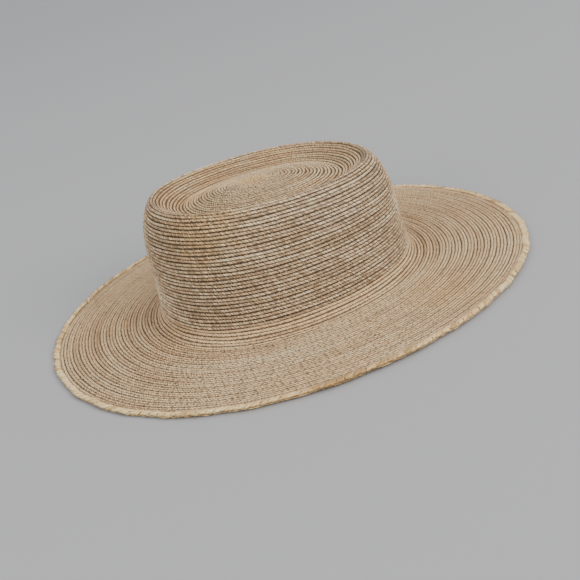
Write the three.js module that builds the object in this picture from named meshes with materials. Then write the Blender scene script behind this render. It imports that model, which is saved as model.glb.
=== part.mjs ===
// A boater hat of natural straw: one long narrow braid sewn row outside row into an
// oval crown with a sunken, domed tip, and on into a wide flat brim with a braid round its edge.
// Millimetres, +Z up, +X to the front of the hat. The hat rests on its brim at Z = 0.

import * as THREE from "three";
import { mergeVertices } from "three/addons/utils/BufferGeometryUtils.js";

// Every row is an oval that lies a set distance, its reach, outside one short straight core.
const CORE_HALF_LENGTH = 9.6;
const WALL_REACH = 84.4;
const CORNER_FULLNESS = 0.9;

// Thickness of the sewn straw, and the gap left between two pieces that meet
const STRAW = 2.0;
const GAP = 0.3;

// Crown: the ridge is its highest line. Inside it the tip slopes down to a groove, and from
// the groove it rises again as a low dome.
const RIDGE_HEIGHT = 85.0;
const RIDGE_INSET = 14.9;
const GROOVE_INSET = 34.4;
const GROOVE_DEPTH = 10.0;
const DOME_HEIGHT = 8.2;
const FRONT_DROP = 0.00075;

// Brim: measured from the middle of the wall out to the hat's edge
const BRIM_WIDTH = 85.0;
const BRIM_FRONT_EXTRA = 1.0;
const BRIM_UNDERSIDE = 0.3;
const FLARE_RADIUS = 9.0;
const FOOT_SPREAD = 1.8;
const BRIM_LIFT = 1.2;
const LIFT_ONSET = 0.35;

// Edge braid: a little wider and thicker than the rows that it finishes
const EDGE_WIDTH = 4.4;
const EDGE_THICKNESS = 2.8;
const EDGE_ROUNDING = 0.8;

const SEGMENTS = 64;
const PROFILE_STEPS = 17;
const FLARE_STEPS = 5;
const DOME_STEPS = 3;
const STRAW_COLOUR = 0xc9ad86;
const TIP_COLOUR = 0xbca88a;
const EDGE_COLOUR = 0xcdae78;
const STRAW_ROUGHNESS = 0.75;

const FOOT_HEIGHT = BRIM_UNDERSIDE + STRAW + FLARE_RADIUS;
const GROOVE_HEIGHT = RIDGE_HEIGHT - GROOVE_DEPTH;

// The place in plan of a point at the angle phi round a row, out from the core by reach
function planPoint(phi, reach) {
  const fullness = CORNER_FULLNESS * ((1 - Math.cos(4 * phi)) / 2) * Math.min(reach / WALL_REACH, 1);
  const along = CORE_HALF_LENGTH * Math.sin((Math.PI / 2) * Math.cos(phi));
  const radius = reach + fullness;
  return { x: radius * Math.cos(phi) + along, y: radius * Math.sin(phi) };
}

// Above its foot the crown is a little lower at the front than at the back.
function crownPoint(phi, out, z) {
  const { x, y } = planPoint(phi, WALL_REACH + out);
  const height = FOOT_HEIGHT + (z - FOOT_HEIGHT) * (1 - FRONT_DROP * x);
  return [x, y, z > FOOT_HEIGHT ? height : z];
}

// The brim is level at the front and back, where the hat rests, and lifts a little at both sides.
// It is also a little wider at the front and back than at the sides.
function brimPoint(phi, out, z) {
  const share = Math.max(out, 0) / BRIM_WIDTH;
  const { x, y } = planPoint(phi, WALL_REACH + out + share * BRIM_FRONT_EXTRA * Math.cos(2 * phi));
  const lift = BRIM_LIFT * Math.max(0, LIFT_ONSET - Math.cos(2 * phi)) * share * share;
  return [x, y, z + lift];
}

// A closed ring: the loop of section points { out, z }, carried once round the hat
function ringSolid(loop, placePoint) {
  const positions = [];
  const index = [];
  for (let i = 0; i < SEGMENTS; i += 1) {
    const phi = (2 * Math.PI * i) / SEGMENTS;
    for (const { out, z } of loop) {
      positions.push(...placePoint(phi, out, z));
    }
  }
  const count = loop.length;
  for (let i = 0; i < SEGMENTS; i += 1) {
    const here = i * count;
    const next = ((i + 1) % SEGMENTS) * count;
    for (let j = 0; j < count; j += 1) {
      const k = (j + 1) % count;
      index.push(here + j, next + j, next + k);
      index.push(here + j, next + k, here + k);
    }
  }
  return finishedGeometry(positions, index);
}

// A closed plate: rings of section points from its top middle, round its rim, to its bottom middle
function plateSolid(rings, top, bottom, placePoint) {
  const positions = [...top];
  const index = [];
  for (const { out, z } of rings) {
    for (let i = 0; i < SEGMENTS; i += 1) {
      positions.push(...placePoint((2 * Math.PI * i) / SEGMENTS, out, z));
    }
  }
  positions.push(...bottom);
  const last = 1 + rings.length * SEGMENTS;
  for (let i = 0; i < SEGMENTS; i += 1) {
    const j = (i + 1) % SEGMENTS;
    index.push(0, 1 + i, 1 + j);
    for (let r = 0; r < rings.length - 1; r += 1) {
      const inner = 1 + r * SEGMENTS;
      const outer = inner + SEGMENTS;
      index.push(inner + i, outer + i, outer + j);
      index.push(inner + i, outer + j, inner + j);
    }
    index.push(last, last - SEGMENTS + j, last - SEGMENTS + i);
  }
  return finishedGeometry(positions, index);
}

function finishedGeometry(positions, index) {
  const geometry = new THREE.BufferGeometry();
  geometry.setAttribute("position", new THREE.Float32BufferAttribute(positions, 3));
  geometry.setIndex(index);
  const merged = mergeVertices(geometry);
  merged.computeVertexNormals();
  return merged;
}

// The same line moved sideways by a distance, to the left of its direction
function sideways(line, distance) {
  return line.map((point, i) => {
    const before = line[Math.max(i - 1, 0)];
    const after = line[Math.min(i + 1, line.length - 1)];
    const length = Math.hypot(after.out - before.out, after.z - before.z);
    return {
      out: point.out - ((after.z - before.z) / length) * distance,
      z: point.z + ((after.out - before.out) / length) * distance,
    };
  });
}

// Outer line of the crown, from its foot up the wall, over the ridge and down to the groove,
// and the inner line one thickness of straw under it. out is the distance outside the
// middle of the wall, and z is the height.
function crownLines() {
  const table = [
    { out: FOOT_SPREAD, z: FOOT_HEIGHT + GAP },
    { out: 0.0, z: 31.0 },
    { out: -1.4, z: 51.0 },
    { out: -2.7, z: 62.0 },
    { out: -5.6, z: 72.5 },
    { out: -10.6, z: 81.4 },
    { out: -RIDGE_INSET, z: RIDGE_HEIGHT },
    { out: -19.5, z: RIDGE_HEIGHT - 2.2 },
    { out: -28.0, z: GROOVE_HEIGHT + 2.6 },
    { out: -GROOVE_INSET, z: GROOVE_HEIGHT },
  ];
  const curve = new THREE.SplineCurve(table.map((row) => new THREE.Vector2(row.out, row.z)));
  const outer = curve.getSpacedPoints(PROFILE_STEPS).map((point) => ({ out: point.x, z: point.y }));
  const inner = sideways(outer, STRAW);
  const turn = outer.findIndex((point) => point.out < -RIDGE_INSET);
  return { outer, inner, turn };
}

// The side of the crown, from its foot to the ridge
function crownGeometry() {
  const { outer, inner, turn } = crownLines();
  return ringSolid([...outer.slice(0, turn + 1), ...inner.slice(0, turn + 1).reverse()], crownPoint);
}

// The height of the dome at a share of the way from its middle to the groove
function domeHeight(share) {
  return GROOVE_HEIGHT + DOME_HEIGHT * Math.cos((Math.PI / 2) * share);
}

// Rings of the dome between its middle and the groove, lowered by drop
function domeRings(drop) {
  return Array.from({ length: DOME_STEPS }, (_, i) => {
    const share = (i + 1) / (DOME_STEPS + 1);
    return { out: share * (WALL_REACH - GROOVE_INSET) - WALL_REACH, z: domeHeight(share) - drop };
  });
}

// The tip: the slope down from the ridge to the groove, and the dome inside it
function crownTipGeometry() {
  const { outer, inner, turn } = crownLines();
  const rim = sideways([inner[turn], outer[turn]], GAP);
  const underLine = [rim[0], ...inner.slice(turn + 1)];
  const upperLine = [rim[1], ...outer.slice(turn + 1)];
  const rings = [...domeRings(0), ...upperLine.reverse(), ...underLine, ...domeRings(STRAW).reverse()];
  const middle = crownPoint(0, -WALL_REACH, domeHeight(0))[2];
  return plateSolid(rings, [0, 0, middle], [0, 0, middle - STRAW], crownPoint);
}

function brimGeometry() {
  const centreOut = FOOT_SPREAD + FLARE_RADIUS;
  const flare = (radius) =>
    Array.from({ length: FLARE_STEPS + 1 }, (_, i) => {
      const angle = Math.PI + ((Math.PI / 2) * i) / FLARE_STEPS;
      return { out: centreOut + radius * Math.cos(angle), z: FOOT_HEIGHT + radius * Math.sin(angle) };
    });
  const end = BRIM_WIDTH - EDGE_WIDTH - GAP;
  const middle = (centreOut + end) / 2;
  const top = [
    ...flare(FLARE_RADIUS),
    { out: middle, z: BRIM_UNDERSIDE + STRAW },
    { out: end, z: BRIM_UNDERSIDE + STRAW },
  ];
  const underside = [
    { out: end, z: BRIM_UNDERSIDE },
    { out: middle, z: BRIM_UNDERSIDE },
    ...flare(FLARE_RADIUS + STRAW).reverse(),
  ];
  return ringSolid([...top, ...underside].reverse(), brimPoint);
}

function edgeBraidGeometry() {
  const inside = BRIM_WIDTH - EDGE_WIDTH;
  const loop = [
    { out: inside, z: EDGE_ROUNDING },
    { out: inside, z: EDGE_THICKNESS - EDGE_ROUNDING },
    { out: inside + EDGE_ROUNDING, z: EDGE_THICKNESS },
    { out: BRIM_WIDTH - EDGE_ROUNDING, z: EDGE_THICKNESS },
    { out: BRIM_WIDTH, z: EDGE_THICKNESS - EDGE_ROUNDING },
    { out: BRIM_WIDTH, z: EDGE_ROUNDING },
    { out: BRIM_WIDTH - EDGE_ROUNDING, z: 0 },
    { out: inside + EDGE_ROUNDING, z: 0 },
  ];
  return ringSolid(loop.reverse(), brimPoint);
}

function piece(name, geometry, color) {
  const material = new THREE.MeshStandardMaterial({ color, roughness: STRAW_ROUGHNESS, metalness: 0 });
  const mesh = new THREE.Mesh(geometry, material);
  mesh.name = name;
  return mesh;
}

const group = new THREE.Group();
group.add(piece("crown_tip", crownTipGeometry(), TIP_COLOUR));
group.add(piece("crown", crownGeometry(), STRAW_COLOUR));
group.add(piece("brim", brimGeometry(), STRAW_COLOUR));
group.add(piece("edge_braid", edgeBraidGeometry(), EDGE_COLOUR));

export default group;
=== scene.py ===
# %% [markdown]
# # A boater hat of natural straw
#
# A hat like this is one long, narrow braid of palm leaf. The maker starts in the middle of
# the crown's tip and sews the braid to itself, row outside row, down the wall and out to the
# edge of the brim. The rows are what the eye reads first, so they are real geometry here:
# thousands of small strands that follow one spiral.

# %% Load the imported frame
import math

import bpy
import numpy as np
from mathutils import Matrix, Vector


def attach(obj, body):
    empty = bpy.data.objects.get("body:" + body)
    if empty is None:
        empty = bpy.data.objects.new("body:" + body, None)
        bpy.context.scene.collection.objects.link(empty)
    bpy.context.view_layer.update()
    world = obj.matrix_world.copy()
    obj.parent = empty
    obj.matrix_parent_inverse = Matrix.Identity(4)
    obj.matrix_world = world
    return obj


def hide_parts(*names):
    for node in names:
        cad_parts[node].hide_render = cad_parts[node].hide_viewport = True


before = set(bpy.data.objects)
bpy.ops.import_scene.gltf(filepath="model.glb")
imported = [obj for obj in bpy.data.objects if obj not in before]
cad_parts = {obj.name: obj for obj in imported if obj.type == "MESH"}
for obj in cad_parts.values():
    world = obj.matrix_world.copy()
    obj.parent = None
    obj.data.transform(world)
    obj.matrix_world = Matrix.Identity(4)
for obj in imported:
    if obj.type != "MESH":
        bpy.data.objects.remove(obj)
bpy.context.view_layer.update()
MM = 0.001
print("CAD nodes:", sorted(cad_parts))

# %% [markdown]
# ## The oval of one row
#
# Seen from above, each row is an oval at a set distance, its reach, round a short straight
# core. One rule gives all the rows, from the middle of the tip to the edge of the brim, so
# the spiral is a formula and needs no drawn curve.

# %% The oval of one row
CORE_HALF_LENGTH = 9.6
WALL_REACH = 84.4
CORNER_FULLNESS = 0.9


def row_oval(phi, reach):
    """Place in plan, in millimetres, at the angle phi round the row with this reach."""
    fullness = CORNER_FULLNESS * (1 - np.cos(4 * phi)) / 2 * np.minimum(reach / WALL_REACH, 1)
    along = CORE_HALF_LENGTH * np.sin(math.pi / 2 * np.cos(phi))
    radius = reach + fullness
    return radius * np.cos(phi) + along, radius * np.sin(phi)


print("length of the wall's oval, mm:", 2 * (WALL_REACH + CORE_HALF_LENGTH))

# %% [markdown]
# ## The line of the hat
#
# Cut the hat from its middle to its edge, and the cut shows one line: the low dome of the
# tip, the groove round it, the slope up to the ridge, the round shoulder, the wall, the flare
# and the level brim. The line is kept as points about a millimetre apart or closer, with
# their distance along it, so that "30 mm along the line" is a place on the hat.

# %% The line of the hat
RIDGE_HEIGHT = 85.0
RIDGE_INSET = 14.9
GROOVE_INSET = 34.4
GROOVE_HEIGHT = 75.0
DOME_HEIGHT = 8.2
BRIM_TOP = 2.3
FLARE_RADIUS = 9.0
FOOT_SPREAD = 1.8
FOOT_HEIGHT = BRIM_TOP + FLARE_RADIUS
BRIM_END = 80.3
STRAW = 2.0
GAP = 0.3
CROWN_SIDE = [
    (FOOT_SPREAD, FOOT_HEIGHT + GAP), (0.0, 31.0), (-1.4, 51.0), (-2.7, 62.0), (-5.6, 72.5),
    (-10.6, 81.4), (-RIDGE_INSET, RIDGE_HEIGHT), (-19.5, RIDGE_HEIGHT - 2.2),
    (-28.0, GROOVE_HEIGHT + 2.6), (-GROOVE_INSET, GROOVE_HEIGHT),
]
CURVE_POINTS = 24
LEVEL_POINTS = 60


def smooth_line(points, steps):
    """A smooth line through the points, a Catmull-Rom spline with steps between two of them."""
    p = np.array([points[0], *points, points[-1]])
    t = np.linspace(0, 1, steps, endpoint=False)[:, None]
    parts = []
    for a, b, c, d in zip(p, p[1:], p[2:], p[3:]):
        parts.append(b + t * (c - a) / 2 + t**2 * (a - 2.5 * b + 2 * c - d / 2)
                     + t**3 * (1.5 * b - a / 2 - 1.5 * c + d / 2))
    return np.vstack([*parts, p[-1:]])


tip_share = np.linspace(0, 1, LEVEL_POINTS, endpoint=False)
tip_part = np.column_stack([
    -WALL_REACH + tip_share * (WALL_REACH - GROOVE_INSET),
    GROOVE_HEIGHT + DOME_HEIGHT * np.cos(math.pi / 2 * tip_share),
])
quarter = np.linspace(math.pi, 1.5 * math.pi, CURVE_POINTS)
flare_part = np.column_stack([
    FOOT_SPREAD + FLARE_RADIUS + FLARE_RADIUS * np.cos(quarter),
    FOOT_HEIGHT + FLARE_RADIUS * np.sin(quarter),
])
brim_out = np.linspace(flare_part[-1, 0], BRIM_END, LEVEL_POINTS)[1:]
brim_part = np.column_stack([brim_out, np.full_like(brim_out, BRIM_TOP)])
crown_part = smooth_line(CROWN_SIDE, CURVE_POINTS)[::-1]
LINE = np.vstack([tip_part, crown_part, flare_part, brim_part])
step_lengths = np.hypot(*np.diff(LINE, axis=0).T)
RUN = np.concatenate([[0], np.cumsum(step_lengths)])
S_RIDGE = RUN[np.argmax(LINE[:, 1])]
S_FOOT = RUN[len(tip_part) + len(crown_part) - 1]
S_END = RUN[-1]
print("line in mm, to the ridge, the foot and the brim's end:", S_RIDGE, S_FOOT, S_END)

# %% [markdown]
# ## From the line to a surface
#
# Turned round the oval, the line becomes the hat's surface. The crown is a little lower at
# the front, and the brim lifts a little at its sides, as it does when straw is steamed over
# a block. The sewing starts a few millimetres behind the middle of the tip. The normal comes
# from two short steps on the surface, one round and one outward.

# %% From the line to a surface
FRONT_DROP = 0.00075
BRIM_WIDTH = 85.0
BRIM_FRONT_EXTRA = 1.0
BRIM_LIFT = 1.2
LIFT_ONSET = 0.35
START_SHIFT = -5.0
ROUND_STEP = 0.01
OUTWARD_STEP = 0.3


def hat_point(phi, s):
    """Point of the hat's upper surface, in millimetres, at the distance s along the line."""
    out, z = np.interp(s, RUN, LINE[:, 0]), np.interp(s, RUN, LINE[:, 1])
    return placed(phi, out, z)


def placed(phi, out, z):
    """The point at the angle phi that lies out from the middle of the wall, at the height z."""
    share = np.where(z < FOOT_HEIGHT, np.maximum(out, 0) / BRIM_WIDTH, 0)
    reach = WALL_REACH + out + share * BRIM_FRONT_EXTRA * np.cos(2 * phi)
    x, y = row_oval(phi, reach)
    height = FOOT_HEIGHT + (z - FOOT_HEIGHT) * (1 - FRONT_DROP * x)
    lift = BRIM_LIFT * np.maximum(0, LIFT_ONSET - np.cos(2 * phi)) * share**2
    x = x + START_SHIFT * np.maximum(0, 1 - reach / (WALL_REACH - GROOVE_INSET))
    return np.stack([x, y, np.where(z > FOOT_HEIGHT, height, z + lift)], axis=-1)


def hat_normal(phi, s):
    """Unit normal of the upper surface, out of the straw."""
    round_it = hat_point(phi + ROUND_STEP, s) - hat_point(phi - ROUND_STEP, s)
    farther, nearer = np.minimum(s + OUTWARD_STEP, S_END), np.maximum(s - OUTWARD_STEP, 0)
    normal = np.cross(hat_point(phi, farther) - hat_point(phi, nearer), round_it)
    return normal / np.linalg.norm(normal, axis=-1, keepdims=True)


print("front of the brim, mm:", hat_point(np.array(0.0), S_END).round(1))

# %% [markdown]
# ## Camera, floor and light
#
# The camera looks at the hat's right side from above and a little from behind, and it leans
# to one side, because in the photograph the hat itself is tilted. Here the hat stands level,
# so all of the tilt goes to the camera.

# %% Camera
CAMERA_AZIMUTH = -0.350
CAMERA_ELEVATION = 0.422
CAMERA_ROLL = -0.270
CAMERA_PLACE = Vector((-0.2022, -0.5535, 0.2556))
FOCAL_PIXELS = 849
PICTURE_PIXELS = 580
SENSOR_MM = 36
NEAREST, FARTHEST = 0.01, 50


def in_scene(name, data):
    """A new object with this data, linked to the scene."""
    thing = bpy.data.objects.new(name, data)
    bpy.context.collection.objects.link(thing)
    return thing


camera_data = bpy.data.cameras.new("camera")
camera_data.sensor_width = SENSOR_MM
camera_data.lens = FOCAL_PIXELS * SENSOR_MM / PICTURE_PIXELS
camera_data.clip_start, camera_data.clip_end = NEAREST, FARTHEST
camera = in_scene("camera", camera_data)
back = Vector((math.sin(CAMERA_AZIMUTH) * math.cos(CAMERA_ELEVATION),
               -math.cos(CAMERA_AZIMUTH) * math.cos(CAMERA_ELEVATION),
               math.sin(CAMERA_ELEVATION)))
right = Vector((math.cos(CAMERA_AZIMUTH), math.sin(CAMERA_AZIMUTH), 0))
up = back.cross(right)
leaning_right = math.cos(CAMERA_ROLL) * right + math.sin(CAMERA_ROLL) * up
leaning_up = -math.sin(CAMERA_ROLL) * right + math.cos(CAMERA_ROLL) * up
turned = Matrix((leaning_right, leaning_up, back)).transposed().to_4x4()
camera.matrix_world = Matrix.Translation(CAMERA_PLACE) @ turned
bpy.context.scene.camera = camera
print("lens, mm:", round(camera_data.lens, 1))

# %% Floor and light
FLOOR_HALF = 20.0
FLOOR_DROP = 0.0003
FLOOR_GREY = (0.385, 0.385, 0.39)
SKY_TINT = (0.93, 0.96, 1.0)
SKY_STRENGTH = 0.68
WARM_WHITE = (1.0, 0.985, 0.96)
WARMER_WHITE = (1.0, 0.98, 0.95)
HIGH_LIGHT_POWER = 1.48
HIGH_LIGHT_SPREAD = math.radians(50)
HIGH_LIGHT_FROM = Vector((0.10, -0.55, 1.0))


def plain_material(name, colour, roughness):
    """A material with one Principled shader."""
    material = bpy.data.materials.new(name)
    material.use_nodes = True
    shader = material.node_tree.nodes["Principled BSDF"]
    shader.inputs["Base Color"].default_value = (*colour, 1)
    shader.inputs["Roughness"].default_value = roughness
    return material, shader


corners = [(-FLOOR_HALF, -FLOOR_HALF), (FLOOR_HALF, -FLOOR_HALF),
           (FLOOR_HALF, FLOOR_HALF), (-FLOOR_HALF, FLOOR_HALF)]
floor_mesh = bpy.data.meshes.new("floor")
floor_mesh.from_pydata([(x, y, -FLOOR_DROP) for x, y in corners], [], [(0, 1, 2, 3)])
floor_mesh.materials.append(plain_material("pale_floor", FLOOR_GREY, 0.9)[0])
floor = in_scene("floor", floor_mesh)

world = bpy.data.worlds.new("studio")
bpy.context.scene.world = world
world.use_nodes = True
sky = world.node_tree.nodes["Background"]
sky.inputs["Color"].default_value = (*SKY_TINT, 1)
sky.inputs["Strength"].default_value = SKY_STRENGTH


def soft_light(name, place, target, size, power, colour):
    """A square area light that looks at a target."""
    data = bpy.data.lights.new(name, "AREA")
    data.size, data.energy, data.color = size, power, colour
    turned = (Vector(target) - Vector(place)).to_track_quat("-Z", "Y").to_matrix().to_4x4()
    in_scene(name, data).matrix_world = Matrix.Translation(place) @ turned


soft_light("side_light", (1.6, -2.7, 1.7), (0, 0, 0.04), 1.8, 78, WARM_WHITE)
soft_light("left_light", (-2.5, -1.0, 1.3), (0, 0, 0.03), 1.6, 27, WARMER_WHITE)
high_data = bpy.data.lights.new("high_light", "SUN")
high_data.energy, high_data.angle, high_data.color = HIGH_LIGHT_POWER, HIGH_LIGHT_SPREAD, WARM_WHITE
high_light = in_scene("high_light", high_data)
high_light.rotation_euler = HIGH_LIGHT_FROM.to_track_quat("Z", "Y").to_euler()

# %% [markdown]
# ## Shader groups for straw
#
# Each strand is a slip of a dried palm leaf. A leaf has its own tone, so a strand keeps one
# tone, and the braid slowly changes along its length as the maker lays in new leaves. Fine
# fibres run along each slip, and its sides and ends get painted shade. All the straw materials
# share these two effects, so each is a shader group: one for the tone, one for the fibres and the painted
# shade.

# %% Helpers for node trees
def new_group(name, inputs, outputs):
    """A shader group with these sockets: (name, socket type, default value)."""
    group = bpy.data.node_groups.new(name, "ShaderNodeTree")
    for label, kind, value in inputs:
        socket = group.interface.new_socket(label, in_out="INPUT", socket_type=kind)
        if value is not None:
            socket.default_value = value
    for label, kind in outputs:
        group.interface.new_socket(label, in_out="OUTPUT", socket_type=kind)
    return group, group.nodes.new("NodeGroupInput"), group.nodes.new("NodeGroupOutput")


def fill(tree, socket, value):
    """Links another node's output to the socket, or sets the socket to a plain value."""
    if isinstance(value, bpy.types.NodeSocket):
        tree.links.new(value, socket)
    else:
        socket.default_value = value


def add_node(tree, kind, inputs=(), **settings):
    """A node with its settings and inputs. An input is a value or another node's output."""
    node = tree.nodes.new(kind)
    for key, value in settings.items():
        setattr(node, key, value)
    for key, value in dict(inputs).items():
        fill(tree, node.inputs[key], value)
    return node


def mixed(tree, share, first, second, blend="MIX"):
    """The output of a colour mix."""
    node = add_node(tree, "ShaderNodeMix", data_type="RGBA", blend_type=blend)
    for number, value in ((0, share), (6, first), (7, second)):
        fill(tree, node.inputs[number], value)
    return node.outputs[2]


def calculated(tree, operation, *values):
    """The output of a Math node."""
    node = add_node(tree, "ShaderNodeMath", dict(enumerate(values)), operation=operation)
    return node.outputs[0]


def ranged(tree, value, low, high, to_low=0.0, to_high=1.0):
    """The value carried from one range to another, and held inside it."""
    inputs = {"Value": value, "From Min": low, "From Max": high, "To Min": to_low, "To Max": to_high}
    return add_node(tree, "ShaderNodeMapRange", inputs, clamp=True).outputs[0]


def noise(tree, inputs, **settings):
    """The output of a noise texture."""
    return add_node(tree, "ShaderNodeTexNoise", inputs, **settings).outputs["Fac"]


COLOUR, NUMBER, VECTOR = "NodeSocketColor", "NodeSocketFloat", "NodeSocketVector"
print("kinds of socket:", COLOUR, NUMBER, VECTOR)


# %% Shader group: the tone of the leaf
leaf_tone, given, result = new_group(
    "leaf_tone",
    [("Strand", NUMBER, 0.5), ("Run", NUMBER, 0.0), ("Band", VECTOR, None),
     ("Deep", COLOUR, (0.2, 0.1, 0.05, 1)), ("Middle", COLOUR, (0.5, 0.35, 0.2, 1)),
     ("Pale", COLOUR, (0.8, 0.65, 0.45, 1)), ("Patches", NUMBER, 0.5), ("Variety", NUMBER, 0.6)],
    [("Colour", COLOUR)],
)
leaf = noise(leaf_tone, {
    "W": calculated(leaf_tone, "MULTIPLY", given.outputs["Run"], 7.0), "Scale": 1.0, "Detail": 4.0,
}, noise_dimensions="1D")
hue = noise(leaf_tone, {
    "W": calculated(leaf_tone, "MULTIPLY", given.outputs["Run"], 9.0), "Scale": 1.0, "Detail": 1.0,
}, noise_dimensions="1D")
area = noise(leaf_tone, {
    "Vector": given.outputs["Band"], "Scale": 13.0, "Detail": 4.0, "Roughness": 0.6,
})
strand_swing = calculated(leaf_tone, "SUBTRACT", given.outputs["Strand"], 0.5)
leaf_swing = ranged(leaf_tone, leaf, 0.25, 0.75, -0.5, 0.5)
area_swing = ranged(leaf_tone, area, 0.3, 0.7, -0.5, 0.5)
swing = calculated(leaf_tone, "MULTIPLY_ADD", strand_swing, given.outputs["Variety"], 0.5)
swing = calculated(leaf_tone, "MULTIPLY_ADD", leaf_swing, 0.6, swing)
swing = calculated(leaf_tone, "MULTIPLY_ADD", area_swing, given.outputs["Patches"], swing)
tone = mixed(leaf_tone, ranged(leaf_tone, swing, 0.0, 0.5),
             given.outputs["Deep"], given.outputs["Middle"])
tone = mixed(leaf_tone, ranged(leaf_tone, swing, 0.5, 1.0), tone, given.outputs["Pale"])
rare = ranged(leaf_tone, given.outputs["Strand"], 0.10, 0.03, 0.0, 0.75)
tone = mixed(leaf_tone, rare, tone, given.outputs["Deep"])
tone = mixed(leaf_tone, ranged(leaf_tone, hue, 0.55, 0.75, 0.0, 0.4), tone,
             (1.0, 0.82, 0.74, 1), "MULTIPLY")
tone = mixed(leaf_tone, ranged(leaf_tone, hue, 0.42, 0.25, 0.0, 0.35), tone,
             (0.95, 0.97, 0.78, 1), "MULTIPLY")
leaf_tone.links.new(tone, result.inputs["Colour"])
print("leaf_tone nodes:", len(leaf_tone.nodes))

# %% Shader group: fibres along the strand, and painted shade at its sides and ends
leaf_fibre, given, result = new_group(
    "leaf_fibre",
    [("Across", NUMBER, 0.0), ("Lengthwise", NUMBER, 0.0), ("Strand", NUMBER, 0.5),
     ("Place", VECTOR, None)],
    [("Height", NUMBER), ("Roughness", NUMBER), ("Painted Shade And Grain", NUMBER)],
)
across, lengthwise = given.outputs["Across"], given.outputs["Lengthwise"]
strand_place = add_node(leaf_fibre, "ShaderNodeCombineXYZ", {
    "X": calculated(leaf_fibre, "MULTIPLY", lengthwise, 1.3),
    "Y": calculated(leaf_fibre, "MULTIPLY", across, 4.0),
    "Z": calculated(leaf_fibre, "MULTIPLY", given.outputs["Strand"], 90.0),
})
fibre = noise(leaf_fibre, {
    "Vector": strand_place.outputs[0], "Scale": 2.2, "Detail": 3.0, "Roughness": 0.65,
})
speck = noise(leaf_fibre, {"Vector": given.outputs["Place"], "Scale": 900.0, "Detail": 2.0})
# Painted shade at the ends and the sides of each strand, with darker fibres and specks that are the
# leaf's own grain.
shades = [
    ranged(leaf_fibre, calculated(leaf_fibre, "ABSOLUTE", lengthwise), 0.7, 1.0, 0.0, 0.3),
    ranged(leaf_fibre, calculated(leaf_fibre, "ABSOLUTE", across), 0.55, 1.0),
    ranged(leaf_fibre, fibre, 0.54, 0.34, 0.0, 0.8),
    ranged(leaf_fibre, speck, 0.6, 0.75, 0.0, 0.4),
]
deepest = shades[0]
for shade in shades[1:]:
    deepest = calculated(leaf_fibre, "MAXIMUM", deepest, shade)
leaf_fibre.links.new(fibre, result.inputs["Height"])
leaf_fibre.links.new(ranged(leaf_fibre, fibre, 0.3, 0.7, 0.4, 0.7), result.inputs["Roughness"])
leaf_fibre.links.new(deepest, result.inputs["Painted Shade And Grain"])
print("leaf_fibre nodes:", len(leaf_fibre.nodes))

# %% [markdown]
# ## Patches and painted shade in the crease
#
# Steamed and stored straw has soft patches, rustier, more golden or greyer than the rest. One
# patch is a ball of colour with a ragged rim, at a given place. On the right side of the hat a
# second group paints shade on one band of the rows just inside the ridge: a painted shadow
# line along the crease. Both work on the hat's own places, so they stay on the straw in every
# view.

# %% Shader group: a soft patch where the leaf took another colour
soft_patch, given, result = new_group(
    "soft_patch",
    [("Place", VECTOR, None), ("Centre", VECTOR, None), ("Radius", NUMBER, 0.02),
     ("Amount", NUMBER, 1.0)],
    [("Mask", NUMBER)],
)
ragged = noise(soft_patch, {
    "Vector": given.outputs["Place"], "Scale": 75.0, "Detail": 4.0, "Roughness": 0.7,
})
away = add_node(soft_patch, "ShaderNodeVectorMath", {
    0: given.outputs["Place"], 1: given.outputs["Centre"],
}, operation="DISTANCE")
share = calculated(soft_patch, "DIVIDE", away.outputs["Value"], given.outputs["Radius"])
share = calculated(soft_patch, "ADD", share, ranged(soft_patch, ragged, 0.3, 0.7, -0.35, 0.35))
mask = calculated(soft_patch, "MULTIPLY", ranged(soft_patch, share, 1.0, 0.35), given.outputs["Amount"])
soft_patch.links.new(mask, result.inputs["Mask"])
print("soft_patch nodes:", len(soft_patch.nodes))

# %% Shader group: painted shade in the crease just inside the ridge
painted_crease_shade, given, result = new_group(
    "painted_crease_shade",
    [("Band", VECTOR, None), ("From", NUMBER, 0.19), ("To", NUMBER, 0.22), ("Amount", NUMBER, 0.5)],
    [("Mask", NUMBER)],
)
place = add_node(painted_crease_shade, "ShaderNodeSeparateXYZ", {0: given.outputs["Band"]})
inner_side = calculated(painted_crease_shade, "SUBTRACT", place.outputs["Z"], given.outputs["From"])
outer_side = calculated(painted_crease_shade, "SUBTRACT", given.outputs["To"], place.outputs["Z"])
nearest = calculated(painted_crease_shade, "MINIMUM", inner_side, outer_side)
# The painted shade is full on the hat's right side and fades out towards the middle.
right_side = ranged(painted_crease_shade, place.outputs["Y"], 0.0, -0.035)
mask = calculated(painted_crease_shade, "MULTIPLY", ranged(painted_crease_shade, nearest, 0.0, 0.004), right_side)
painted_crease_shade.links.new(calculated(painted_crease_shade, "MULTIPLY", mask, given.outputs["Amount"]), result.inputs["Mask"])
print("crease nodes:", len(painted_crease_shade.nodes))

# %% [markdown]
# ## Straw materials
#
# The wall, the tip, the brim and the edge are all straw, but the wall's rows have darker tones,
# partly a browner straw and partly painted shade, as the wall faces less light than the brim,
# and the edge is of a yellower braid. So one function makes them all, each with its own three
# tones, shade and patches. Straw has a dull gloss and a faint sheen, as dry leaves have.

# %% A helper that makes a straw material
PATCH_TINTS = {"rusty": (0.96, 0.81, 0.66), "golden": (1.0, 0.90, 0.66),
               "greyish": (0.92, 0.95, 0.96), "chalky": (1.04, 1.08, 1.16)}
SHEEN_TINT = (1.0, 0.95, 0.88, 1)


def attribute(tree, name, output="Fac"):
    """The numbers that the strands carry under this name."""
    return add_node(tree, "ShaderNodeAttribute", attribute_name=name).outputs[output]


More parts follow.
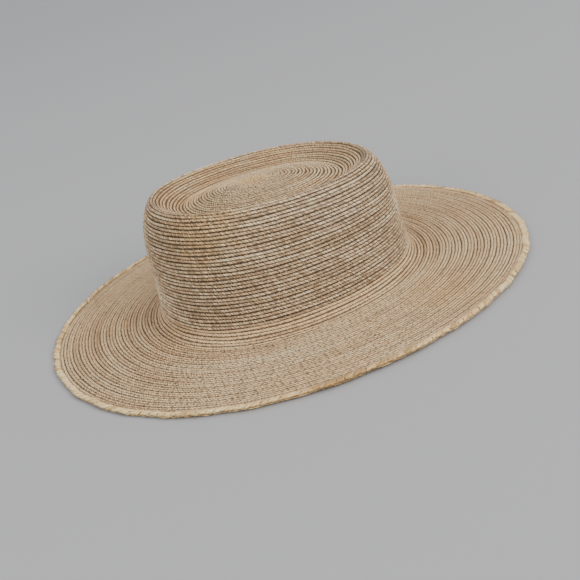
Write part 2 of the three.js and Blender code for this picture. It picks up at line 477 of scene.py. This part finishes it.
def straw_material(name, tones, shaded, shade_share, patches, variety, bump, places=(),
                   one_tone=None, shade_band=None):
    """A straw finish: leaf tones, soft patches, painted shade on the sides and ends, and fine fibres."""
    material, shader = plain_material(name, tones[1], 0.65)
    tree = material.node_tree
    place = add_node(tree, "ShaderNodeTexCoord").outputs["Object"]
    strand = attribute(tree, "strand_tone") if one_tone is None else one_tone
    band = attribute(tree, "band", "Vector")
    deep, middle, pale = [(*tone, 1) for tone in tones]
    tone = add_node(tree, "ShaderNodeGroup", {
        "Strand": strand, "Run": attribute(tree, "run"), "Band": band, "Deep": deep,
        "Middle": middle, "Pale": pale, "Patches": patches, "Variety": variety,
    }, node_tree=leaf_tone)
    fibres = add_node(tree, "ShaderNodeGroup", {
        "Across": attribute(tree, "across"), "Lengthwise": attribute(tree, "lengthwise"),
        "Strand": strand, "Place": place,
    }, node_tree=leaf_fibre)
    colour = tone.outputs["Colour"]
    for centre, radius, tint, amount in places:
        patch = add_node(tree, "ShaderNodeGroup", {
            "Place": place, "Centre": Vector(centre) * MM, "Radius": radius * MM, "Amount": amount,
        }, node_tree=soft_patch)
        colour = mixed(tree, patch.outputs["Mask"], colour, (*PATCH_TINTS[tint], 1), "MULTIPLY")
    # Painted shade: the sides and ends of each strand are mixed towards the shaded colour.
    share = calculated(tree, "MULTIPLY", fibres.outputs["Painted Shade And Grain"], shade_share)
    # The band of painted shade inside the ridge, where the material has one.
    if shade_band:
        line = add_node(tree, "ShaderNodeGroup", {"Band": band, **shade_band}, node_tree=painted_crease_shade)
        share = calculated(tree, "MAXIMUM", share, line.outputs["Mask"])
    colour = mixed(tree, share, colour, (*shaded, 1))
    relief = add_node(tree, "ShaderNodeBump", {
        "Height": fibres.outputs["Height"], "Strength": bump, "Distance": 0.3 * MM,
    })
    for label, value in (("Base Color", colour), ("Roughness", fibres.outputs["Roughness"]),
                         ("Normal", relief.outputs["Normal"]), ("Specular IOR Level", 0.5),
                         ("Sheen Weight", 0.15), ("Sheen Roughness", 0.45), ("Sheen Tint", SHEEN_TINT)):
        fill(tree, shader.inputs[label], value)
    return material


print("tints of the patches:", list(PATCH_TINTS))

# %% The straw of the wall, the brim, the tip and the edge
WALL_PLACES = [((-60, -45, 80), 38, "golden", 0.8), ((10, -79, 68), 26, "chalky", 0.9),
               ((-55, 55, 82), 30, "rusty", 0.5)]
BRIM_PLACES = [((-110, -25, 3), 22, "rusty", 0.35), ((-130, 45, 3), 34, "rusty", 0.35),
               ((60, -120, 3), 30, "golden", 0.5), ((-40, -110, 3), 30, "greyish", 0.7)]
TIP_PLACES = [((-60, 28, 85), 32, "rusty", 0.8), ((-15, 62, 83), 30, "rusty", 0.7),
              ((35, 54, 80), 26, "rusty", 0.55), ((-5, 0, 82), 52, "greyish", 0.9),
              ((-5, 0, 83), 14, "golden", 1.0)]
# The wall's middle and deep tones are darker than the brim's: partly a browner straw, partly painted
# shade.
WALL_TONES = [(0.30, 0.19, 0.09), (0.64, 0.435, 0.245), (1.0, 0.82, 0.53)]
BRIM_TONES = [(0.46, 0.285, 0.13), (0.87, 0.58, 0.305), (1.0, 0.80, 0.47)]
TIP_TONES = [(0.42, 0.26, 0.12), (0.81, 0.54, 0.28), (1.0, 0.80, 0.46)]
EDGE_TONES = [(0.48, 0.28, 0.10), (0.91, 0.62, 0.28), (1.0, 0.84, 0.45)]
ROW_CONTRAST = 4.0
# Painted shade: rows from 5 mm to 0.3 mm inside the ridge are darkened on the hat's right side.
CREASE_INNER = S_RIDGE - 5.0
CREASE_OUTER = S_RIDGE - 0.3
RIDGE_SHADE = {"From": CREASE_INNER * ROW_CONTRAST * MM, "To": CREASE_OUTER * ROW_CONTRAST * MM,
               "Amount": 0.75}
straw_wall = straw_material("straw_wall", WALL_TONES, shaded=(0.10, 0.056, 0.024), shade_share=0.7,
                            patches=0.4, variety=0.6, bump=0.6, places=WALL_PLACES,
                            shade_band=RIDGE_SHADE)
straw_brim = straw_material("straw_brim", BRIM_TONES, shaded=(0.18, 0.11, 0.052), shade_share=0.6,
                            patches=0.4, variety=0.42, bump=0.6, places=BRIM_PLACES)
straw_tip = straw_material("straw_tip", TIP_TONES, shaded=(0.15, 0.094, 0.045), shade_share=0.65,
                           patches=0.35, variety=0.34, bump=0.6, places=TIP_PLACES,
                           shade_band=RIDGE_SHADE)
straw_edge = straw_material("straw_edge", EDGE_TONES, shaded=(0.30, 0.19, 0.08), shade_share=0.6,
                            patches=0.8, variety=0.5, bump=0.8)
print("straw materials:", [m.name for m in bpy.data.materials if m.name.startswith("straw")])

# %% The straw at the core of a row
def core_material(name, tones, places, share):
    """The straw between the strands of a row: the same tones with a share of their brightness, as painted
    shade.
    """
    darker = [tuple(share * part for part in tone) for tone in tones]
    return straw_material(name, darker, shaded=(0.07, 0.042, 0.021), shade_share=0.95, patches=0.4,
                          variety=0.0, bump=0.8, places=places, one_tone=0.5)


# Painted shade: the cores are darkened copies of the straw tones, so the valleys between rows read dark.
core_wall = core_material("core_wall", WALL_TONES, WALL_PLACES, 0.42)
core_brim = core_material("core_brim", BRIM_TONES, BRIM_PLACES, 0.74)
core_tip = core_material("core_tip", TIP_TONES, TIP_PLACES, 0.42)
print("core materials:", [m.name for m in bpy.data.materials if m.name.startswith("core")])

# %% [markdown]
# ## The straw behind the strands
#
# A sewn braid is two or three layers deep. Through the gaps between the rows one sees the
# layer behind, in shade. A closed wall of straw stands for it, so light never shines through,
# and its colour is painted dark as shade, so each gap reads as a dark line.

# %% Material of the straw behind
def backing_material(name, dark, light):
    """Straw behind the rows, painted dark for the shade it lies in, with the same fine fibres across it.
    """
    material, shader = plain_material(name, dark, 0.85)
    tree = material.node_tree
    place = add_node(tree, "ShaderNodeTexCoord").outputs["Object"]
    coarse = noise(tree, {"Vector": place, "Scale": 420.0, "Detail": 3.0})
    colour = mixed(tree, ranged(tree, coarse, 0.35, 0.7), (*dark, 1), (*light, 1))
    relief = add_node(tree, "ShaderNodeBump", {
        "Height": coarse, "Strength": 0.5, "Distance": 0.5 * MM,
    })
    fill(tree, shader.inputs["Base Color"], colour)
    fill(tree, shader.inputs["Normal"], relief.outputs["Normal"])
    return material


# Painted shade: near black behind the wall and brim, lighter behind the edge's straps.
backing_wall = backing_material("backing_wall", (0.040, 0.024, 0.012), (0.10, 0.062, 0.032))
backing_brim = backing_material("backing_brim", (0.065, 0.040, 0.020), (0.15, 0.095, 0.05))
backing_edge = backing_material("backing_edge", (0.22, 0.13, 0.06), (0.38, 0.25, 0.12))
print("backing materials:", [m.name for m in bpy.data.materials if m.name.startswith("backing")])

# %% Closed walls behind the strands
BACKING_DEPTH = 0.8
AROUND = 144
TIP_START = 3.0


def finished_object(name, vertices, faces, materials=()):
    """A smooth mesh object with its place in its mesh, given in metres."""
    mesh = bpy.data.meshes.new(name)
    mesh.from_pydata([tuple(v) for v in vertices], [], [tuple(f) for f in faces])
    mesh.polygons.foreach_set("use_smooth", [True] * len(mesh.polygons))
    for material in materials:
        mesh.materials.append(material)
    return in_scene(name, mesh)


def ring_faces(rings, closed=True):
    """Four-sided faces between each ring of points and the next, and back to the first."""
    faces = []
    for r in range(rings if closed else rings - 1):
        a, b = r * AROUND, (r + 1) % rings * AROUND
        for i in range(AROUND):
            j = (i + 1) % AROUND
            faces.append((a + i, b + i, b + j, a + j))
    return faces


def backing(name, s_from, s_to, rings, material, stands_for, from_core=False):
    """The closed wall between two distances along the line, or a plate if it starts in the core."""
    s = np.linspace(s_from, s_to, rings)
    phi = np.arange(AROUND) * 2 * math.pi / AROUND
    grid_phi, grid_s = np.meshgrid(phi, s)
    top, normal = hat_point(grid_phi, grid_s), hat_normal(grid_phi, grid_s)
    upper = top - BACKING_DEPTH * normal
    lower = top - (STRAW - BACKING_DEPTH) * normal
    loops = np.concatenate([upper, lower[::-1]])
    faces = ring_faces(len(loops), closed=not from_core)
    vertices = loops.reshape(-1, 3)
    if from_core:
        centre, under = len(vertices), len(vertices) + 1
        last = (len(loops) - 1) * AROUND
        for i in range(AROUND):
            j = (i + 1) % AROUND
            faces.append((centre, i, j))
            faces.append((under, last + j, last + i))
        vertices = np.vstack([vertices, upper[0].mean(0), lower[0].mean(0)])
    piece = finished_object(name, vertices * MM, faces, [material])
    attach(piece, "root")
    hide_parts(stands_for)
    print(name, "faces:", len(faces))


backing("crown_tip_backing", TIP_START, S_RIDGE - GAP, 24, backing_brim, "crown_tip", True)
backing("crown_backing", S_RIDGE, S_FOOT, 40, backing_wall, "crown")
backing("brim_backing", S_FOOT + GAP, S_END, 30, backing_brim, "brim")

# %% [markdown]
# ## The spiral of the braid
#
# The braid's path is a chain of edges. Each point on it carries the direction out of the
# straw, so that a strand laid there knows which way is up, and its run, the metres along its
# part of the braid from a number that differs in each part, so that the colour can change
# along it. A third value, the band, is the place on the hat with its distance across the
# rows stretched: a cloudy pattern laid over it comes out as streaks that follow the rows. The
# rows are narrowest on the brim, so the turns of the spiral are counted in three parts: the
# tip, the wall and the brim.

# %% The spiral of the braid
TIP_PITCH = 2.38
WALL_PITCH = 2.40
BRIM_PITCH = 2.28
S_SHOULDER = S_RIDGE - 2.6
KNOTS = np.array([0.0, S_SHOULDER, S_FOOT, S_END])
TURNS = np.concatenate([[0.0], np.cumsum(np.diff(KNOTS) / (TIP_PITCH, WALL_PITCH, BRIM_PITCH))])
STEPS_A_TURN = 64
CORE_REACH = 1.2


def store(mesh, **columns):
    """Gives the points of the mesh named numbers, or named vectors where a row has three."""
    for name, values in columns.items():
        values = np.asarray(values, dtype=float)
        kind, field = ("FLOAT_VECTOR", "vector") if values.ndim == 2 else ("FLOAT", "value")
        mesh.attributes.new(name, kind, "POINT").data.foreach_set(field, values.ravel())


def chain(name, points, closed=False):
    """A mesh of points, given in millimetres, that are joined by edges one after another."""
    count = len(points)
    edges = [(i, (i + 1) % count) for i in range(count if closed else count - 1)]
    mesh = bpy.data.meshes.new(name)
    mesh.from_pydata((np.asarray(points) * MM).tolist(), edges, [])
    return mesh


def braid_path(name, s_from, s_to, under=False, sink=0.0, more=0.0):
    """The part of the spiral between two distances along the line, as a chain of edges.

    More is a part of a turn that the braid goes on for, held at the second distance.
    """
    first, last = np.interp((s_from, s_to), KNOTS, TURNS) + (0.0, more)
    steps = np.arange(math.floor(first * STEPS_A_TURN), math.floor(last * STEPS_A_TURN) + 1)
    turns = steps / STEPS_A_TURN
    s = np.maximum(np.interp(turns, TURNS, KNOTS), CORE_REACH)
    phi = 2 * math.pi * turns
    # Hand sewing sways a little to both sides: a slow wave and a quick one, in millimetres.
    sway = 0.16 * np.sin(phi * 5.3 + 1.7 * turns) + 0.12 * np.sin(phi * 11.7 + turns)
    s = np.clip(s + sway, s_from, s_to)
    points, normal = hat_point(phi, s), hat_normal(phi, s)
    if under:
        points, normal = points - STRAW * normal, -normal
    points = points - sink * normal
    mesh = chain(name, points)
    lengths = np.linalg.norm(np.diff(points, axis=0), axis=1)
    run = np.concatenate([[0], np.cumsum(lengths)]) * MM + s_from
    band = np.column_stack([points[:, 0], points[:, 1], s * ROW_CONTRAST]) * MM
    store(mesh, up=normal, run=run, band=band)
    print(name, "metres:", round(lengths.sum() * MM, 2))
    return in_scene(name, mesh)


print("turns of the spiral, to the shoulder, the foot and the end:", TURNS[1:].round(1))

# %% [markdown]
# ## One strand
#
# A strand is a flat slip of leaf with slanted ends. Hundreds lie in each row, so the slip has
# only 20 triangles. Between the strands shows the middle of the braid, a rounded cord of
# straw, and its outline is kept here for the tree that sweeps it along the spiral.

# %% One strand
STRAND_SKEW = -0.36
SLIP_SECTION = [(-1.0, 1.0), (-0.5, 0.0), (0.5, 0.0), (1.0, 1.0)]
CORE_OUTLINE = [(-0.5, -0.85), (0.1, -0.72), (0.36, 0.1), (0.12, 0.85), (-0.5, 0.9)]


def with_numbers(shape, across, lengthwise):
    """Gives each point its place across and along the strand, for the fibres and the painted shade in the
    material.
    """
    store(shape.data, across=across, lengthwise=lengthwise)
    print(shape.name, "triangles:", sum(len(p.vertices) - 2 for p in shape.data.polygons))
    return shape


def strand_shape(name, stations):
    """A closed flat slip of straw, one unit long and wide, with slanted ends.

    Each station is x, width and height. The skew is in lengths of the slip.
    """
    vertices, across, lengthwise = [], [], []
    for x, width, height in stations:
        for side, drop in SLIP_SECTION:
            vertices.append((x + STRAND_SKEW * side / 2, side * width / 2, height - drop))
            across.append(side)
            lengthwise.append(2 * x)
    faces = [(0, 3, 2, 1)]
    for r in range(len(stations) - 1):
        a, b = 4 * r, 4 * r + 4
        faces += [(a + k, a + (k + 1) % 4, b + (k + 1) % 4, b + k) for k in range(4)]
    last = 4 * (len(stations) - 1)
    faces.append((last, last + 1, last + 2, last + 3))
    return with_numbers(finished_object(name, vertices, faces), across, lengthwise)


def core_section(name, points):
    """The outline of a braid's core, cut across: (height, side) in millimetres."""
    mesh = chain(name, [(height, side, 0) for height, side in points], closed=True)
    half = max(side for _, side in points)
    # The place across the core also gives its sides painted shade in the material.
    store(mesh, across=[side / half for _, side in points])
    return in_scene(name, mesh)


core = core_section("braid_core", CORE_OUTLINE)
strand = strand_shape("strand", [(-0.5, 0.75, -1.2), (0.1, 1.0, 1.0), (0.5, 0.75, -0.7)])
plain_strand = strand_shape("plain_strand", [(-0.5, 0.6, -0.9), (0.0, 1.0, 1.0), (0.5, 0.6, -0.9)])

# %% [markdown]
# ## Laying the strands
#
# A plait's visible side is one slanted strand after another, each end tucked under the next,
# like the strands of a rope. Geometry Nodes suit this: the path becomes evenly spaced
# points, a strand is set on each, turned to the path and then slanted, and a fixed seed
# varies its size and tone. One tree serves every surface of the hat with its own numbers.

# %% Inputs of the tree that lays strands
TREE_INPUTS = [
    ("Strand", "NodeSocketObject", None), ("Spacing", NUMBER, 0.002), ("Length", NUMBER, 0.004),
    ("Width", NUMBER, 0.0018), ("Height", NUMBER, 0.0006), ("Slant", NUMBER, 0.4),
    ("Lean", NUMBER, 0.0), ("Tuck", NUMBER, 0.1), ("Unevenness", NUMBER, 0.1),
    ("Seed", "NodeSocketInt", 1), ("Finish", "NodeSocketMaterial", None),
    ("With Core", "NodeSocketBool", False), ("Core Section", "NodeSocketObject", None),
    ("Core Finish", "NodeSocketMaterial", None),
]
laying = bpy.data.node_groups.new("lay_strands", "GeometryNodeTree")
laying.interface.new_socket("Path", in_out="INPUT", socket_type="NodeSocketGeometry")
for label, kind, value in TREE_INPUTS:
    socket = laying.interface.new_socket(label, in_out="INPUT", socket_type=kind)
    if value is not None:
        socket.default_value = value
laying.interface.new_socket("Braid", in_out="OUTPUT", socket_type="NodeSocketGeometry")
given, result = laying.nodes.new("NodeGroupInput"), laying.nodes.new("NodeGroupOutput")
print("inputs of the tree:", [label for label, _, _ in TREE_INPUTS])

# %% Uneven sizes and turns
# An offset picks a row of random numbers. Length and height share one, so that a longer
# slip is also a thicker one.
OFFSETS = {"Length": 6, "Width": 5, "Height": 6, "Lean": 31, "Tuck": 37, "Slant": 41, "Tone": 53,
           "Slip": 61}


def uneven(low, high, offset):
    """A random number for each strand, from the tree's seed."""
    seed = calculated(laying, "ADD", given.outputs["Seed"], offset)
    node = add_node(laying, "FunctionNodeRandomValue", {"Seed": seed}, data_type="FLOAT")
    fill(laying, node.inputs[2], low)
    fill(laying, node.inputs[3], high)
    return node.outputs[1]


def sized(name, spread):
    """One of the tree's sizes, varied by the unevenness."""
    random_part = uneven(-spread, spread, OFFSETS[name])
    swing = calculated(laying, "MULTIPLY", given.outputs["Unevenness"], random_part)
    return calculated(laying, "MULTIPLY", given.outputs[name], calculated(laying, "ADD", swing, 1.0))


def angled(name, spread):
    """One of the tree's angles, varied by the unevenness."""
    random_part = uneven(-spread, spread, OFFSETS[name])
    swing = calculated(laying, "MULTIPLY", given.outputs["Unevenness"], random_part)
    return calculated(laying, "ADD", given.outputs[name], swing)


size = add_node(laying, "ShaderNodeCombineXYZ", {
    "X": sized("Length", 1.0), "Y": sized("Width", 0.8), "Z": sized("Height", 1.5),
})
twist = add_node(laying, "ShaderNodeCombineXYZ", {
    "X": angled("Lean", 1.0), "Y": angled("Tuck", 0.4), "Z": angled("Slant", 1.2),
})
print("nodes for sizes and turns:", len(laying.nodes))

# %% From the path to turned strands
curve = add_node(laying, "GeometryNodeMeshToCurve", {0: given.outputs["Path"]})
points = add_node(laying, "GeometryNodeCurveToPoints", {
    "Curve": curve.outputs[0], "Length": given.outputs["Spacing"],
}, mode="LENGTH")
up_way = add_node(laying, "GeometryNodeInputNamedAttribute", {"Name": "up"}, data_type="FLOAT_VECTOR")
along = add_node(laying, "FunctionNodeAlignRotationToVector", {
    "Vector": points.outputs["Tangent"],
}, axis="X")
upright = add_node(laying, "FunctionNodeAlignRotationToVector", {
    "Rotation": along.outputs[0], "Vector": up_way.outputs[0],
}, axis="Z", pivot_axis="X")
slanted = add_node(laying, "FunctionNodeEulerToRotation", {0: twist.outputs[0]})
facing = add_node(laying, "FunctionNodeRotateRotation", {
    0: upright.outputs[0], 1: slanted.outputs[0],
}, rotation_space="LOCAL")
shape = add_node(laying, "GeometryNodeObjectInfo", {"Object": given.outputs["Strand"]})
slip = add_node(laying, "ShaderNodeVectorMath", {
    0: points.outputs["Tangent"],
    "Scale": calculated(laying, "MULTIPLY", given.outputs["Spacing"], uneven(-0.2, 0.2, OFFSETS["Slip"])),
}, operation="SCALE")
slipped = add_node(laying, "GeometryNodeSetPosition", {
    "Geometry": points.outputs[0], "Offset": slip.outputs["Vector"],
})
laid = add_node(laying, "GeometryNodeInstanceOnPoints", {
    "Points": slipped.outputs[0], "Instance": shape.outputs["Geometry"],
    "Rotation": facing.outputs[0], "Scale": size.outputs[0],
})
toned = add_node(laying, "GeometryNodeStoreNamedAttribute", {
    "Geometry": laid.outputs[0], "Name": "strand_tone", "Value": uneven(0.0, 1.0, OFFSETS["Tone"]),
}, data_type="FLOAT", domain="INSTANCE")
real = add_node(laying, "GeometryNodeRealizeInstances", {0: toned.outputs[0]})
coated = add_node(laying, "GeometryNodeSetMaterial", {
    "Geometry": real.outputs[0], "Material": given.outputs["Finish"],
})
print("nodes with the strands:", len(laying.nodes))

# %% The core of the braid, carried along the same path
section = add_node(laying, "GeometryNodeObjectInfo", {"Object": given.outputs["Core Section"]})
section_curve = add_node(laying, "GeometryNodeMeshToCurve", {0: section.outputs["Geometry"]})
righted = add_node(laying, "GeometryNodeSetCurveNormal", {
    "Curve": curve.outputs[0], "Normal": up_way.outputs[0],
}, mode="FREE")
swept = add_node(laying, "GeometryNodeCurveToMesh", {
    "Curve": righted.outputs[0], "Profile Curve": section_curve.outputs[0], "Fill Caps": True,
})
core_coated = add_node(laying, "GeometryNodeSetMaterial", {
    "Geometry": swept.outputs[0], "Material": given.outputs["Core Finish"],
})
both = add_node(laying, "GeometryNodeJoinGeometry")
for part in (core_coated, coated):
    laying.links.new(part.outputs[0], both.inputs[0])
chosen = add_node(laying, "GeometryNodeSwitch", {
    "Switch": given.outputs["With Core"], "False": coated.outputs[0], "True": both.outputs[0],
}, input_type="GEOMETRY")
laying.links.new(chosen.outputs[0], result.inputs[0])
print("lay_strands nodes:", len(laying.nodes))


# %% A helper that runs the tree and keeps a plain mesh
def laid_braid(name, path, values):
    """Lays strands along the path and turns the result into one plain mesh piece."""
    modifier = path.modifiers.new("laying", "NODES")
    modifier.node_group = laying
    names = {s.name: s.identifier for s in laying.interface.items_tree if s.in_out == "INPUT"}
    for label, value in values.items():
        modifier[names[label]] = value
    path.update_tag()
    depsgraph = bpy.context.evaluated_depsgraph_get()
    mesh = bpy.data.meshes.new_from_object(path.evaluated_get(depsgraph), depsgraph=depsgraph)
    bpy.data.objects.remove(path)
    mesh.name = name
    mesh.polygons.foreach_set("use_smooth", [True] * len(mesh.polygons))
    piece = in_scene(name, mesh)
    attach(piece, "root")
    mesh.calc_loop_triangles()
    print(name, "triangles:", len(mesh.loop_triangles))


# %% Strands on the outside
WALL_STRANDS = {
    "Strand": strand, "Spacing": 2.1 * MM, "Length": 5.0 * MM, "Width": 1.84 * MM, "Height": 0.74 * MM,
    "Slant": -0.06, "Lean": -0.20, "Tuck": -0.06, "Unevenness": 0.07, "Seed": 3,
    "Finish": straw_wall, "With Core": True, "Core Section": core, "Core Finish": core_wall,
}
BRIM_STRANDS = {
    **WALL_STRANDS, "Length": 4.8 * MM, "Width": 1.86 * MM, "Height": 0.48 * MM, "Slant": -0.08,
    "Lean": -0.09, "Tuck": -0.03, "Unevenness": 0.05, "Seed": 11, "Finish": straw_brim,
    "Core Finish": core_brim,
}
TIP_STRANDS = {
    **BRIM_STRANDS, "Spacing": 1.95 * MM, "Length": 4.4 * MM, "Width": 1.62 * MM,
    "Height": 0.62 * MM, "Lean": -0.16, "Seed": 17, "Finish": straw_tip, "Core Finish": core_tip,
}
# The strands sink a little into the straw behind. The brim's rows are two pieces, inner and
# outer, because one piece would hold too many triangles.
SINK = 0.6
S_HALF_WAY = S_FOOT + 47.0
tip_path = braid_path("tip_path", 0.0, S_SHOULDER, sink=SINK)
laid_braid("crown_tip_braid", tip_path, TIP_STRANDS)
crown_path = braid_path("crown_path", S_SHOULDER, S_FOOT, sink=SINK)
laid_braid("crown_braid", crown_path, WALL_STRANDS)
inner_path = braid_path("brim_inner_path", S_FOOT, S_HALF_WAY, sink=SINK)
laid_braid("brim_inner_braid", inner_path, BRIM_STRANDS)
outer_path = braid_path("brim_outer_path", S_HALF_WAY, S_END, sink=SINK, more=0.5)
laid_braid("brim_outer_braid", outer_path, {**BRIM_STRANDS, "Seed": 13})

# %% Strands on the inside and the underside
UNDER_STRANDS = {
    **BRIM_STRANDS, "Strand": plain_strand, "Spacing": 4.1 * MM, "Length": 7.8 * MM,
    "Width": 2.1 * MM, "Height": 0.58 * MM, "Seed": 23, "With Core": False,
}
TIP_INSIDE_STRANDS = {
    **UNDER_STRANDS, "Spacing": 3.6 * MM, "Length": 6.2 * MM, "Seed": 29, "Finish": straw_tip,
}
CROWN_INSIDE_STRANDS = {**UNDER_STRANDS, "Spacing": 4.2 * MM, "Finish": straw_wall}
tip_path = braid_path("tip_inside_path", TIP_START, S_SHOULDER, under=True, sink=SINK)
laid_braid("crown_tip_inside_braid", tip_path, TIP_INSIDE_STRANDS)
crown_path = braid_path("crown_inside_path", S_SHOULDER, S_FOOT, under=True, sink=SINK)
laid_braid("crown_inside_braid", crown_path, CROWN_INSIDE_STRANDS)
under_path = braid_path("brim_under_path", S_FOOT, S_END, under=True, sink=SINK)
laid_braid("brim_under_braid", under_path, UNDER_STRANDS)

# %% [markdown]
# ## The bound edge
#
# The last row is a wider and yellower braid. Its broad strands fold over the rim of the brim
# and hide the end of the spiral. Each strand is a short strap, bent over a rounded core.

# %% Core of the edge
EDGE_IN = 80.6
EDGE_OUT = 84.5
EDGE_TOP = 2.4
EDGE_BOTTOM = 0.5
EDGE_SECTION = [
    (EDGE_IN, 0.9), (EDGE_IN, 2.0), (EDGE_IN + 0.6, EDGE_TOP), (EDGE_OUT - 0.9, EDGE_TOP),
    (EDGE_OUT - 0.2, 2.0), (EDGE_OUT, 1.4), (EDGE_OUT - 0.2, 0.8), (EDGE_OUT - 0.9, EDGE_BOTTOM),
    (EDGE_IN + 0.6, EDGE_BOTTOM),
]
phi = np.arange(AROUND) * 2 * math.pi / AROUND
rings = np.concatenate([
    placed(phi, np.full(AROUND, out), np.full(AROUND, z)) for out, z in EDGE_SECTION
])
faces = ring_faces(len(EDGE_SECTION))
edge_core = finished_object("edge_core", rings * MM, faces, [backing_edge])
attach(edge_core, "root")
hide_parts("edge_braid")
print("edge_core faces:", len(faces))

# %% Straps over the edge
STRAP_SECTION = [(-2.6, 0.7), (-1.2, 1.15), (0.5, 1.1), (1.5, 0.75), (1.85, 0.1), (1.1, -0.45),
                 (-1.4, -0.75)]
STRAP_COLUMNS = [(-0.5, 0.1), (-0.05, 1.0), (0.5, 0.3)]
STRAP_THICK = 0.45
STRAP_SKEW = 1.5
EDGE_POINTS = 240
EDGE_RADIUS_METRES = 0.17
STRAP_LINE = (82.9, 1.4)


def strap_shape(name):
    """A closed strap, one unit wide, bent over the edge: x runs along the edge, y outward."""
    inner = np.array(STRAP_SECTION)
    away = inner - inner.mean(0)
    outward = away / np.linalg.norm(away, axis=1)[:, None] * STRAP_THICK
    n, m = len(inner), len(STRAP_COLUMNS)
    vertices, across, lengthwise = [], [], []
    for layer in (1, 0):
        for x, swell in STRAP_COLUMNS:
            for k, (y, z) in enumerate(inner + outward * (swell * layer - 0.5 * (1 - layer))):
                vertices.append((x + STRAP_SKEW * (k / (n - 1) - 0.5), y, z))
                across.append(2 * x)
                lengthwise.append(2 * k / (n - 1) - 1)
    under = m * n
    faces = []
    for c in range(m - 1):
        for k in range(n - 1):
            a = c * n + k
            faces.append((a, a + n, a + n + 1, a + 1))
            faces.append((under + a, under + a + 1, under + a + n + 1, under + a + n))
        first, last = c * n, c * n + n - 1
        faces.append((first, under + first, under + first + n, first + n))
        faces.append((last, last + n, under + last + n, under + last))
    for k in range(n - 1):
        faces.append((k, k + 1, under + k + 1, under + k))
        a = (m - 1) * n + k
        faces.append((a, under + a, under + a + 1, a + 1))
    return with_numbers(finished_object(name, vertices, faces), across, lengthwise)


def edge_path(name, out, z):
    """A closed chain of edges round the brim, a little wavy, at one distance and height."""
    phi = np.arange(EDGE_POINTS) * 2 * math.pi / EDGE_POINTS
    wave = 0.25 * np.sin(phi * 23) + 0.2 * np.sin(phi * 41 + 1)
    points = placed(phi, out + wave, np.full(EDGE_POINTS, z))
    mesh = chain(name, points, closed=True)
    straight_up = np.tile([0.0, 0.0, 1.0], (EDGE_POINTS, 1))
    store(mesh, up=straight_up, run=phi * EDGE_RADIUS_METRES, band=points * MM)
    return in_scene(name, mesh)


strap = strap_shape("strap")
EDGE_STRAPS = {"Strand": strap, "Spacing": 3.1 * MM, "Length": 5.4 * MM, "Width": MM, "Height": MM,
               "Slant": 0.0, "Tuck": 0.02, "Unevenness": 0.06, "Seed": 41, "Finish": straw_edge}
laid_braid("edge_straps", edge_path("edge_path", *STRAP_LINE), EDGE_STRAPS)

# %% [markdown]
# ## Whip stitches
#
# A dark thread holds the last braid: short slanted stitches that show at the rim every
# 6 or 7 mm. They are the same closed slip as a strand, made thin and laid with the same tree.

# %% Whip stitches
STITCH_LINE = (84.4, 2.75)
thread = plain_material("thread", (0.09, 0.06, 0.035), 0.8)[0]
STITCHES = {"Strand": strand, "Spacing": 6.6 * MM, "Length": 2.6 * MM, "Width": 0.55 * MM,
            "Height": 0.35 * MM, "Slant": 0.9, "Tuck": 0.0, "Unevenness": 0.25, "Seed": 59,
            "Finish": thread}
laid_braid("edge_stitches", edge_path("stitch_path", *STITCH_LINE), STITCHES)
for helper in (strand, plain_strand, strap, core):
    bpy.data.objects.remove(helper)
